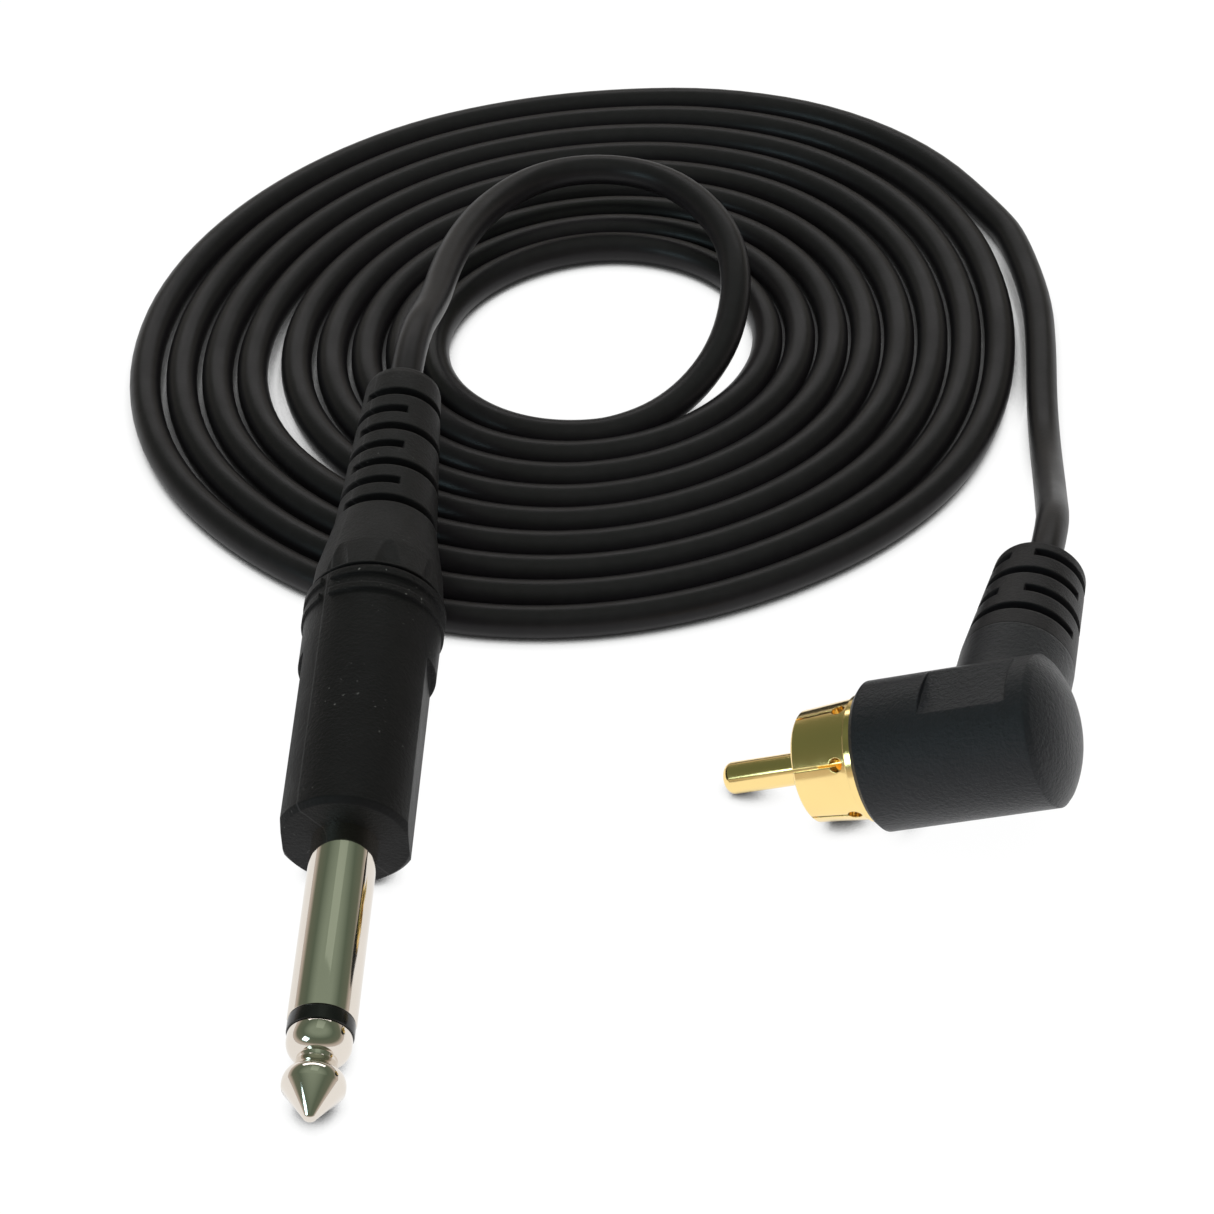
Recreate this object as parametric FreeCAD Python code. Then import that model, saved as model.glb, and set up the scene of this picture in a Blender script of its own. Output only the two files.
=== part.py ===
import FreeCAD, Part
import math
import os
from FreeCAD import Base

# Unbalanced audio lead: a 6.35 mm mono phone plug, about two metres of thin round
# cord lying in a flat loose spiral, and a right-angle phono (RCA) plug.
# Millimetres. +Z up, the lead lies on the plane z = 0, the phone plug's nose looks to -Y.
# The origin is under the middle of the two plugs' bounding box.

os.makedirs("parts", exist_ok=True)

V = Base.Vector
CONTACT = 0.02      # gap left round lugs and the jacket inside the moulded plugs
SOLDER_FILM = 0.05  # solder between a wire and its tongue
CAVITY_GAP = 0.05   # gap between a pre-mould's bore and what it covers
FIT = 0.03          # gap between a turned metal piece and the bore that holds it

# ---------------------------------------------------------------- cord sizes
CORD_D = 3.4
CORE_D = 0.44 * CORD_D       # insulated inner core
CONDUCTOR_D = 0.2 * CORD_D
PIGTAIL_D = 0.26 * CORD_D    # twisted shield, brought out to one side

# ---------------------------------------------------------------- phone plug sizes
# Distances along the plug run from the nose to the cord end.
SHANK_D = 6.35
PLUG_EXPOSED = 30.5     # nose to the handle's front face
TIP_LENGTH = 8.85
TIP_BALL_D = 5.84
TIP_NECK_D = 3.76
TIP_BEAD_D = 6.0
RING_LENGTH = 1.45
RING_D = 5.95
TIP_ROD_D = 1.8
SLEEVE_BORE_D = 3.9
SLEEVE_ROOT_D = 5.9      # the shank where the handle grips it
FLANGE_D = 8.8
FLANGE_SETBACK = 0.6    # handle plastic in front of the flange
FLANGE_THICKNESS = 1.5
LUG_THICKNESS = 0.5
WASHER_THICKNESS = 1.0
HANDLE_LENGTH = 29.3
HANDLE_FRONT_D = 13.2
HANDLE_REAR_D = 13.6
HANDLE_EDGE = 0.5
GRIP_ACROSS = 11.95     # across the two flat sides
GRIP_LENGTH = 20.5
BAND_WIDTH = 0.8
BAND_HEIGHT = 0.25
BAND_SETBACKS = (0.8, 2.8)   # from the handle's rear end
PARTING_ANGLE = 50.0    # mould parting line, about the plug's axis; 90 is the top, 0 is -X
BAND_GAP_ANGLE = 5.0
RELIEF_LENGTH = 30.0
RELIEF_ROOT_D = 13.4
RELIEF_NECK_D = 10.4
RELIEF_NECK_AT = 9.5
RELIEF_END_D = 7.9
RELIEF_END_ROUND = 1.2
RELIEF_CORE_D = 5.4
SPIGOT_D = 8.6
SPIGOT_LENGTH = 2.3
SLOT_WIDTH = 1.05
SLOT_PITCH = 2.63
SLOT_ROWS = 7
SLOT_FIRST_AT = 10.0    # first slot row, from the relief's root
NOTCH_COUNT = 8         # tapering hollows round the relief's root
NOTCH_LENGTH = 3.4
NOTCH_DEPTH = 0.55
NOTCH_RADIUS = 2.3
NOTCH_FIRST = 8.0       # degrees past the parting line
INNER_MOULD_D = 9.4

# Where the phone plug lies: nose-down, resting on the handle's front edge
PHONE_YAW = 3.20        # degrees, nose towards -X
PHONE_TILT = 7.50       # degrees, nose down
PHONE_NOSE_XY = (-34.528, -44.630)
PHONE_NOSE_Z = 2.50     # tip ball and handle edge both touch the surface

# ---------------------------------------------------------------- phono plug sizes
# Distances along the plug run from the pin's tip.
PIN_D = 3.175
PIN_OUT = 15.7          # pin tip to the housing's front face
PIN_TAIL = 5.0          # pin length inside the housing
PIN_POST_D = 2.6        # pin where the insulator holds it
COLLAR_OUT = 6.6        # collar rim to the housing's front face
COLLAR_BORE_D = 8.3
COLLAR_RIM_D = 10.9
COLLAR_ROOT_D = 12.3
COLLAR_FOOT = 1.0       # base plate inside the housing
COLLAR_STEP = 1.0       # small raised ring against the housing
COLLAR_SLOTS = 6
COLLAR_SLOT_WIDTH = 0.3
COLLAR_TURN = 0.41      # share of a slot's spacing that the first slot is turned by
COLLAR_HOLE_D = 1.35
COLLAR_HOLE_AT = 1.95   # hole centre to the housing's front face
INSULATOR_OUT = 0.8     # insulator's face to the housing's front face
HOUSING_D = 14.55
HOUSING_LENGTH = 19.9
HOUSING_CROWN = 1.9     # how far the domed end bulges
HOUSING_EDGE = 0.5
FLAT_START = 7.1
FLAT_LENGTH = 8.6
FLAT_DEPTH = 0.7
NECK_AT = 12.4          # neck axis, from the housing's front face
NECK_D = 11.4
NECK_LENGTH = 10.6      # from the housing's axis to the neck's end
BOOT_LENGTH = 14.9
BOOT_ROOT_D = 11.15
BOOT_END_D = 9.2
BOOT_CORE_D = 5.6
BOOT_SPIGOT_D = 7.6
BOOT_SPIGOT_LENGTH = 2.2
BOOT_SLOT_PITCH = 3.1
BOOT_SLOT_ROWS = 4
BOOT_SLOT_WIDTH = 1.15
BOOT_SLOT_FIRST_AT = 2.9
PHONO_MOULD_D = 10.4
PHONO_MOULD_LENGTH = 14.2
PHONO_MOULD_WALL = 1.2

# Where the phono plug lies: leaning on its pin and collar, cord end away from the pin
PHONO_YAW = 13.54       # degrees, pin away from -X towards +Y
PHONO_TILT = 23.52      # degrees, pin down
PHONO_FACE_XY = (17.213, -3.941)
PHONO_TIP_Z = 1.30      # the collar's rim touches the surface
NECK_ROLL = 2.17        # degrees, neck turned down from level about the plug's axis

# ---------------------------------------------------------------- the coil
COIL_CENTRE = (-9.99, 68.73)
COIL_FIRST_RADIUS = 16.6
COIL_PITCH = 3.62
COIL_SPREAD = 0.028     # the pitch grows by twice this each turn
COIL_OVAL = 0.055
COIL_OVAL_AT = 38.6     # degrees, direction of the longer axis
COIL_SWAYS = [          # how far the outer turns stand out, where, how widely
    (-1.7, 4.0, 22.0), (1.4, 52.0, 25.0), (-1.1, 91.0, 20.0), (0.7, 168.0, 28.0),
    (-0.65, 225.0, 15.0), (0.6, 322.0, 16.0),
]
COIL_SLACK = (1.2, 4.75, 198.0, 24.0)   # wide gap: how much, after which turn, where, how widely
COIL_SLACK_FADE = 0.21  # share of it taken up again by each turn further out
COIL_START = -81.0      # degrees; the turns run clockwise from here
COIL_TURNS = 8.70
COIL_STEPS = 24         # outline points per turn


def revolve(points, full=360.0):
    """A solid turned about Z from (radius, z) points."""
    corners = [V(r, 0, z) for r, z in points]
    face = Part.Face(Part.makePolygon(corners + corners[:1]))
    return face.revolve(V(0, 0, 0), V(0, 0, 1), full)


def rod(diameter, start, end, x=0.0, y=0.0):
    return Part.makeCylinder(diameter / 2, end - start, V(x, y, start), V(0, 0, 1))


def tube(outer, inner, start, end):
    return rod(outer, start, end).cut(rod(inner, start - 1, end + 1))


def block(width, bottom, top, start, end):
    """A box centred on x = 0, from y = bottom to y = top."""
    return Part.makeBox(width, top - bottom, end - start, V(-width / 2, bottom, start))


def sector(radius, middle, span, start, end):
    """A wedge of a disc about Z, centred on the direction `middle`."""
    first = math.radians(middle - span / 2)
    half = math.radians(middle)
    last = math.radians(middle + span / 2)
    corner = [V(radius * math.cos(a), radius * math.sin(a), start) for a in (first, half, last)]
    arc = Part.Arc(corner[0], corner[1], corner[2]).toShape()
    hub = V(0, 0, start)
    wire = Part.Wire([Part.makeLine(hub, corner[0]), arc, Part.makeLine(corner[2], hub)])
    return Part.Face(wire).extrude(V(0, 0, end - start))


def lying(origin, heading, rise, roll=0.0):
    """Placement of a plug whose own Z points along `heading` and climbs by `rise`."""
    h = math.radians(heading)
    r = math.radians(rise)
    along = V(math.cos(r) * math.cos(h), math.cos(r) * math.sin(h), math.sin(r))
    level = V(0, 0, 1).cross(along).normalize()
    turn = Base.Rotation(level, along.cross(level), along, "ZXY")
    return Base.Placement(origin, turn.multiply(Base.Rotation(V(0, 0, 1), roll)))


# ================================================================ phone plug
FRONT = PLUG_EXPOSED                          # handle's front face
SLEEVE_START = TIP_LENGTH + RING_LENGTH
FLANGE_START = FRONT + FLANGE_SETBACK
FLANGE_END = FLANGE_START + FLANGE_THICKNESS
GROUND_END = FLANGE_END + LUG_THICKNESS
WASHER_END = FLANGE_END + WASHER_THICKNESS
TIP_LUG_END = WASHER_END + LUG_THICKNESS
HANDLE_END = FRONT + HANDLE_LENGTH
RELIEF_START = HANDLE_END
RELIEF_END = RELIEF_START + RELIEF_LENGTH
MOULD_END = RELIEF_START - SPIGOT_LENGTH
JACKET_START = FRONT + 22.0
CRIMP_START = JACKET_START + 1.0
CRIMP_END = CRIMP_START + 3.5
CORE_START = JACKET_START - 6.5
WIRE_START = CORE_START - 4.0
TIP_TONGUE_END = WIRE_START + 3.0

TONGUE_Y = CONDUCTOR_D / 2 + SOLDER_FILM      # tip tongue lies over the bare wire
TIP_TONGUE_WIDTH = 2.0
CRIMP_BORE_D = CORD_D + 2 * CONTACT
CRIMP_D = CRIMP_BORE_D + 2 * LUG_THICKNESS
GROUND_TOP = -CRIMP_BORE_D / 2
GROUND_WIDTH = 2.6
PIGTAIL_Y = GROUND_TOP + PIGTAIL_D / 2 + SOLDER_FILM
PIGTAIL_START = JACKET_START - 5.0
TIP_BORE_DEPTH = 3.2                          # rod's hole in the tip


def phone_tip():
    """Nose cone, ball, neck and bead turned in one piece, bored for the rod."""
    ball = TIP_BALL_D / 2
    neck = TIP_NECK_D / 2
    bead = TIP_BEAD_D / 2
    # stations along the tip, as the standard 6.35 mm plug has them
    nose = [V(0, 0, 0), V(0.42, 0, 0.09), V(0.66, 0, 0.34)]
    round_ball = [V(ball - 0.07, 0, 3.1), V(ball, 0, 3.6), V(ball - 0.3, 0, 4.6)]
    hollow = [round_ball[2], V(neck + 0.2, 0, 5.3), V(neck, 0, 5.95)]
    barrel = [V(neck, 0, 6.3), V(bead - 0.42, 0, 6.85), V(bead, 0, 8.0)]
    end = [barrel[2], V(bead, 0, TIP_LENGTH - 0.15), V(bead - 0.2, 0, TIP_LENGTH),
           V(0, 0, TIP_LENGTH), nose[0]]
    edges = [Part.Arc(*nose).toShape(), Part.makeLine(nose[2], round_ball[0]),
             Part.Arc(*round_ball).toShape(), Part.Arc(*hollow).toShape(),
             Part.makeLine(hollow[2], barrel[0]), Part.Arc(*barrel).toShape()]
    edges += [Part.makeLine(a, b) for a, b in zip(end, end[1:])]
    solid = Part.Face(Part.Wire(edges)).revolve(V(0, 0, 0), V(0, 0, 1), 360)
    hole = rod(TIP_ROD_D, TIP_LENGTH - TIP_BORE_DEPTH, TIP_LENGTH + 1)
    return solid.cut(hole)


def phone_tip_rod():
    """Rod that carries the tip signal back through the sleeve to the tip lug."""
    return rod(TIP_ROD_D, TIP_LENGTH - TIP_BORE_DEPTH, TIP_LUG_END)


def phone_insulator_ring():
    return tube(RING_D, TIP_ROD_D + 2 * FIT, TIP_LENGTH, SLEEVE_START)


def phone_insulating_tube():
    return tube(SLEEVE_BORE_D - 2 * FIT, TIP_ROD_D + 2 * FIT, SLEEVE_START, FLANGE_END)


def phone_sleeve():
    """Ground contact: the plated shank with the flange that the handle holds."""
    shank = SHANK_D / 2
    flange = FLANGE_D / 2
    bore = SLEEVE_BORE_D / 2
    edge = 0.12
    return revolve([(bore, SLEEVE_START), (shank - edge, SLEEVE_START),
                    (shank, SLEEVE_START + edge), (shank, FRONT),
                    (SLEEVE_ROOT_D / 2, FRONT), (SLEEVE_ROOT_D / 2, FLANGE_START),
                    (flange, FLANGE_START), (flange, FLANGE_END), (bore, FLANGE_END)])


def phone_rear_washer():
    return tube(2 * (-GROUND_TOP - CONTACT), TIP_ROD_D, FLANGE_END, WASHER_END)


def phone_tip_lug():
    """Washer riveted on the rod, with a solder tongue over the bare wire."""
    disc = tube(2 * (-GROUND_TOP - CONTACT), TIP_ROD_D, WASHER_END, TIP_LUG_END)
    tongue = block(TIP_TONGUE_WIDTH, TONGUE_Y, TONGUE_Y + LUG_THICKNESS,
                   TIP_LUG_END - LUG_THICKNESS / 2, TIP_TONGUE_END)
    hole = rod(TIP_ROD_D, WASHER_END - 1, TIP_LUG_END)
    return disc.fuse(tongue.cut(hole)).removeSplitter()


def phone_ground_lug():
    """Ring clamped on the flange, tongue along the plug and a crimp round the jacket."""
    ring = tube(FLANGE_D, -2 * GROUND_TOP + 2 * FIT, FLANGE_END, GROUND_END)
    tongue = block(GROUND_WIDTH, GROUND_TOP - LUG_THICKNESS, GROUND_TOP, FLANGE_END, CRIMP_END)
    crimp = tube(CRIMP_D, CRIMP_BORE_D, CRIMP_START, CRIMP_END)
    gap = block(0.6, 0, CRIMP_D, CRIMP_START - 1, CRIMP_END + 1)
    bore = rod(CRIMP_BORE_D, FLANGE_END - 1, CRIMP_END + 1)
    return ring.fuse([tongue.cut(bore), crimp.cut(gap)]).removeSplitter()


def phone_conductor():
    return rod(CONDUCTOR_D, WIRE_START, CORE_START)


def phone_core():
    return rod(CORE_D, CORE_START, JACKET_START)


def phone_pigtail():
    return rod(PIGTAIL_D, PIGTAIL_START, JACKET_START, y=PIGTAIL_Y)


def phone_jacket_end():
    """The cord's own jacket inside the plug, up to where it comes out."""
    return rod(CORD_D, JACKET_START, RELIEF_END)


def solder(diameter, root, wire_d, wire_y, at):
    """A drop of solder from a tongue's face at Y = `root` to just past a wire's centre."""
    down = -1 if wire_y < root else 1
    height = abs(wire_y - root) + 0.15 * wire_d
    drop = Part.makeCone(diameter / 2, diameter / 2.6, height, V(0, root, at), V(0, down, 0))
    return drop.cut(rod(wire_d, at - diameter, at + diameter, y=wire_y))


def phone_tip_solder():
    return solder(1.9, TONGUE_Y, CONDUCTOR_D, 0, WIRE_START + 1.6)


def phone_ground_solder():
    return solder(1.9, GROUND_TOP, PIGTAIL_D, PIGTAIL_Y, PIGTAIL_START + 1.6)


def handle_radius(at):
    """Handle radius at a distance from its front face."""
    share = at / HANDLE_LENGTH
    return (HANDLE_FRONT_D + (HANDLE_REAR_D - HANDLE_FRONT_D) * share) / 2


def phone_handle(inside):
    """Moulded handle: slight taper, two flat sides to the front, two raised bands."""
    front = handle_radius(0)
    rear = handle_radius(HANDLE_LENGTH)
    body = revolve([(0, FRONT), (front - HANDLE_EDGE, FRONT), (front, FRONT + HANDLE_EDGE),
                    (rear, HANDLE_END - HANDLE_EDGE), (rear - HANDLE_EDGE, HANDLE_END),
                    (0, HANDLE_END)])
    half = GRIP_ACROSS / 2
    for side in (-1, 1):
        chip = Part.makeBox(half, 4 * half, GRIP_LENGTH + 1,
                            V(half if side > 0 else -2 * half, -2 * half, FRONT - 1))
        body = body.cut(chip)
    for setback in BAND_SETBACKS:
        end = HANDLE_END - setback
        start = end - BAND_WIDTH
        outer = 2 * (handle_radius(start - FRONT) + BAND_HEIGHT)
        band = tube(outer, outer - 4 * BAND_HEIGHT, start, end)
        for half_turn in (0, 180):
            middle = PARTING_ANGLE + 90 + half_turn
            span = 180 - 2 * BAND_GAP_ANGLE
            body = body.fuse(band.common(sector(outer, middle, span, start - 1, end + 1)))
    for piece in inside:
        body = body.cut(piece)
    return body.removeSplitter()


def ribbed(body, core_d, outer_d, first, pitch, rows, width, slots_of_row):
    """Cut alternating rows of slots round a strain relief, down to its core."""
    for row in range(rows):
        start = first + row * pitch - width / 2
        for middle, span in slots_of_row(row):
            slot = sector(outer_d, middle, span, start, start + width)
            body = body.cut(slot.cut(rod(core_d, start - 1, start + width + 1)))
    return body


def phone_slots(row):
    """One long slot a row, from the two sides of the mould by turns."""
    if row % 2 == 0:
        return [(PARTING_ANGLE + 97, 215)]
    return [(PARTING_ANGLE - 53, 220)]


def phone_strain_relief():
    """Tapered ribbed sleeve, held in the handle by its spigot."""
    start = RELIEF_START
    end = RELIEF_END
    tip = RELIEF_END_D / 2
    turn = RELIEF_END_ROUND
    body = revolve([(0, start - SPIGOT_LENGTH), (SPIGOT_D / 2, start - SPIGOT_LENGTH),
                    (SPIGOT_D / 2, start), (RELIEF_ROOT_D / 2, start),
                    (RELIEF_ROOT_D / 2 - 0.35, start + NOTCH_LENGTH),
                    (RELIEF_NECK_D / 2, start + RELIEF_NECK_AT),
                    (tip, end - turn), (tip - 0.13 * turn, end - turn / 2),
                    (tip - 0.4 * turn, end - 0.2 * turn), (tip - turn, end), (0, end)])
    low = V(RELIEF_ROOT_D / 2 - NOTCH_DEPTH + NOTCH_RADIUS, 0, start)
    high = V(RELIEF_ROOT_D / 2 - 0.35 + NOTCH_RADIUS, 0, start + NOTCH_LENGTH)
    notch = Part.makeCylinder(NOTCH_RADIUS, 2 * NOTCH_LENGTH, low, high - low)
    notch = notch.common(rod(3 * RELIEF_ROOT_D, start, start + 2 * NOTCH_LENGTH))
    for number in range(NOTCH_COUNT):
        chip = notch.copy()
        chip.rotate(V(0, 0, 0), V(0, 0, 1),
                    PARTING_ANGLE + NOTCH_FIRST + number * 360.0 / NOTCH_COUNT)
        body = body.cut(chip)
    body = ribbed(body, RELIEF_CORE_D, RELIEF_ROOT_D, start + SLOT_FIRST_AT, SLOT_PITCH,
                  SLOT_ROWS, SLOT_WIDTH, phone_slots)
    return body.cut(rod(CORD_D, start - SPIGOT_LENGTH - 1, end + 1))


def phone_inner_mould():
    """First moulding over the lugs and wires, covered by the handle."""
    bore = CORD_D + 2 * CAVITY_GAP
    body = rod(INNER_MOULD_D, GROUND_END, MOULD_END)
    body = body.cut(rod(bore, GROUND_END - 1, MOULD_END + 1))
    body = body.cut(rod(CRIMP_D + 2 * CAVITY_GAP, CRIMP_START - CAVITY_GAP, CRIMP_END + CAVITY_GAP))
    groove = block(GROUND_WIDTH + 2 * CAVITY_GAP, GROUND_TOP - LUG_THICKNESS - CAVITY_GAP, 0,
                   GROUND_END - 1, CRIMP_END + CAVITY_GAP)
    return body.cut(groove).removeSplitter()


def phone_plug():
    pieces = {
        "phone_tip": phone_tip(),
        "phone_tip_rod": phone_tip_rod(),
        "phone_insulator_ring": phone_insulator_ring(),
        "phone_insulating_tube": phone_insulating_tube(),
        "phone_sleeve": phone_sleeve(),
        "phone_rear_washer": phone_rear_washer(),
        "phone_tip_lug": phone_tip_lug(),
        "phone_ground_lug": phone_ground_lug(),
        "phone_conductor": phone_conductor(),
        "phone_core": phone_core(),
        "phone_pigtail": phone_pigtail(),
        "phone_jacket_end": phone_jacket_end(),
        "phone_tip_solder": phone_tip_solder(),
        "phone_ground_solder": phone_ground_solder(),
        "phone_strain_relief": phone_strain_relief(),
        "phone_inner_mould": phone_inner_mould(),
    }
    mould = rod(INNER_MOULD_D, GROUND_END, MOULD_END)
    flange = rod(FLANGE_D, FLANGE_START, GROUND_END)
    shank = rod(SLEEVE_ROOT_D, FRONT - 1, FLANGE_START)
    spigot = rod(SPIGOT_D, MOULD_END, HANDLE_END + 1)
    pieces["phone_handle"] = phone_handle([shank, flange, mould, spigot])
    return pieces


# ================================================================ phono plug
FACE = PIN_OUT                                # housing's front face
RIM = FACE - COLLAR_OUT
COLLAR_END = FACE + COLLAR_FOOT
PIN_END = FACE + PIN_TAIL
HOUSING_END = FACE + HOUSING_LENGTH
NECK_Z = FACE + NECK_AT
INSULATOR_START = FACE - INSULATOR_OUT
INSULATOR_END = COLLAR_END + 1.0
PIN_STEP = INSULATOR_START - 0.3              # pin's shoulder, in front of the insulator
PHONO_MOULD_END = COLLAR_END + PHONO_MOULD_LENGTH
TAIL_Y = -3.35                                # ground tail beside the pin
BOOT_START = NECK_LENGTH                      # along the neck, from the plug's axis
BOOT_END = BOOT_START + BOOT_LENGTH
BOOT_SPIGOT_START = BOOT_START - BOOT_SPIGOT_LENGTH
PHONO_JACKET_START = 4.6
PHONO_CORE_START = 1.9
PHONO_PIGTAIL_START = 1.7
PHONO_PIGTAIL_Y = -(CORE_D + PIGTAIL_D) / 2 - FIT


def phono_pin():
    """Centre pin with a rounded nose, stepped down to a post that reaches into the housing."""
    r = PIN_D / 2
    post = PIN_POST_D / 2
    nose = 0.9
    edges = [Part.makeLine(V(0, 0, 0), V(0.5 * r, 0, 0)),
             Part.Arc(V(0.5 * r, 0, 0), V(0.88 * r, 0, 0.3 * nose), V(r, 0, nose)).toShape(),
             Part.makeLine(V(r, 0, nose), V(r, 0, PIN_STEP)),
             Part.makeLine(V(r, 0, PIN_STEP), V(post, 0, PIN_STEP)),
             Part.makeLine(V(post, 0, PIN_STEP), V(post, 0, PIN_END)),
             Part.makeLine(V(post, 0, PIN_END), V(0, 0, PIN_END)),
             Part.makeLine(V(0, 0, PIN_END), V(0, 0, 0))]
    return Part.Face(Part.Wire(edges)).revolve(V(0, 0, 0), V(0, 0, 1), 360)


def phono_insulator():
    bore = PIN_POST_D + 2 * FIT
    front = tube(COLLAR_BORE_D - 2 * FIT, bore, INSULATOR_START, FACE)
    back = tube(COLLAR_BORE_D - 2 * FIT - 1.6, bore, FACE, INSULATOR_END)
    return front.fuse(back).removeSplitter()


def phono_collar():
    """Sprung ground collar: flared, slotted from the rim, each slot ending in a hole."""
    bore = COLLAR_BORE_D / 2
    rim = COLLAR_RIM_D / 2
    root = COLLAR_ROOT_D / 2
    body = revolve([(bore, RIM), (rim - 0.2, RIM), (rim, RIM + 0.2),
                    (root - 0.25, FACE - COLLAR_STEP), (root, FACE - COLLAR_STEP + 0.1),
                    (root, COLLAR_END), (bore - 0.8, COLLAR_END), (bore - 0.8, FACE),
                    (bore, FACE)])
    hole_z = FACE - COLLAR_HOLE_AT
    for number in range(COLLAR_SLOTS):
        slot = Part.makeBox(COLLAR_ROOT_D, COLLAR_SLOT_WIDTH, hole_z - RIM + 1,
                            V(bore - 1, -COLLAR_SLOT_WIDTH / 2, RIM - 1))
        hole = Part.makeCylinder(COLLAR_HOLE_D / 2, COLLAR_ROOT_D, V(bore - 1, 0, hole_z),
                                 V(1, 0, 0))
        turn = (number + COLLAR_TURN) * 360.0 / COLLAR_SLOTS
        body = body.cut(slot.fuse(hole).rotate(V(0, 0, 0), V(0, 0, 1), turn))
    return body


def phono_ground_tail():
    """Solder tail standing off the collar's base beside the insulator."""
    return block(2.0, TAIL_Y - LUG_THICKNESS, TAIL_Y, COLLAR_END, NECK_Z + 1.5)


def along_neck(shape):
    """Turn a piece made along Z to lie along the neck (+X), on the neck's axis."""
    turned = shape.copy()
    turned.rotate(V(0, 0, 0), V(0, 0, 1), 90)
    turned.rotate(V(0, 0, 0), V(0, 1, 0), 90)
    turned.translate(V(0, 0, NECK_Z))
    return turned


def phono_conductor():
    """Bare wire from the core's end, bent forward to the pin's solder post."""
    stub = Part.makeCylinder(CONDUCTOR_D / 2, PHONO_CORE_START, V(0, 0, NECK_Z), V(1, 0, 0))
    drop = rod(CONDUCTOR_D, PIN_END, NECK_Z)
    return stub.fuse([drop, Part.makeSphere(CONDUCTOR_D / 2, V(0, 0, NECK_Z))]).removeSplitter()


def phono_pin_solder():
    top = PIN_END + 1.4
    drop = Part.makeCone(PIN_POST_D / 2 * 0.9, CONDUCTOR_D, top - PIN_END, V(0, 0, PIN_END))
    return drop.cut(rod(CONDUCTOR_D, PIN_END - 1, top + 1))


def phono_core():
    return Part.makeCylinder(CORE_D / 2, PHONO_JACKET_START - PHONO_CORE_START,
                             V(PHONO_CORE_START, 0, NECK_Z), V(1, 0, 0))


def phono_pigtail():
    """Twisted shield from the jacket's end to the ground tail."""
    return Part.makeCylinder(PIGTAIL_D / 2, PHONO_JACKET_START + 0.6,
                             V(-0.6, PHONO_PIGTAIL_Y, NECK_Z), V(1, 0, 0))


def phono_ground_solder():
    height = PHONO_PIGTAIL_Y - TAIL_Y + 0.15 * PIGTAIL_D
    drop = Part.makeCone(0.9, 0.65, height, V(0.4, TAIL_Y, NECK_Z), V(0, 1, 0))
    return drop.cut(phono_pigtail())


def phono_jacket_end():
    return Part.makeCylinder(CORD_D / 2, BOOT_END - PHONO_JACKET_START,
                             V(PHONO_JACKET_START, 0, NECK_Z), V(1, 0, 0))


def phono_slots(row):
    """Two slots a row; the webs between them move round by turns."""
    web = 30 if row % 2 else 40
    middle = 91 if row % 2 else 15
    return [(middle, 180 - web), (middle + 180, 180 - web)]


def phono_strain_relief():
    body = revolve([(0, BOOT_SPIGOT_START), (BOOT_SPIGOT_D / 2, BOOT_SPIGOT_START),
                    (BOOT_SPIGOT_D / 2, BOOT_START), (BOOT_ROOT_D / 2, BOOT_START),
                    (BOOT_END_D / 2, BOOT_END - 1.0), (BOOT_END_D / 2 - 1.0, BOOT_END),
                    (0, BOOT_END)])
    body = ribbed(body, BOOT_CORE_D, BOOT_ROOT_D, BOOT_START + BOOT_SLOT_FIRST_AT,
                  BOOT_SLOT_PITCH, BOOT_SLOT_ROWS, BOOT_SLOT_WIDTH, phono_slots)
    return along_neck(body.cut(rod(CORD_D, BOOT_SPIGOT_START - 1, BOOT_END + 1)))


def phono_mould_block():
    """Outside of the first moulding: round body with a branch into the neck."""
    main = rod(PHONO_MOULD_D, COLLAR_END, PHONO_MOULD_END)
    branch = Part.makeCylinder(BOOT_SPIGOT_D / 2, BOOT_SPIGOT_START, V(0, 0, NECK_Z), V(1, 0, 0))
    return main.fuse(branch).removeSplitter()


def phono_inner_mould():
    """First moulding over the solder joints, with the cord coming in from the side."""
    room = rod(PHONO_MOULD_D - 2 * PHONO_MOULD_WALL, COLLAR_END - 1, PHONO_MOULD_END - PHONO_MOULD_WALL)
    entry = Part.makeCylinder(CORD_D / 2 + CAVITY_GAP, BOOT_SPIGOT_START + 1, V(0, 0, NECK_Z),
                              V(1, 0, 0))
    return phono_mould_block().cut(room).cut(entry).removeSplitter()


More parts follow.
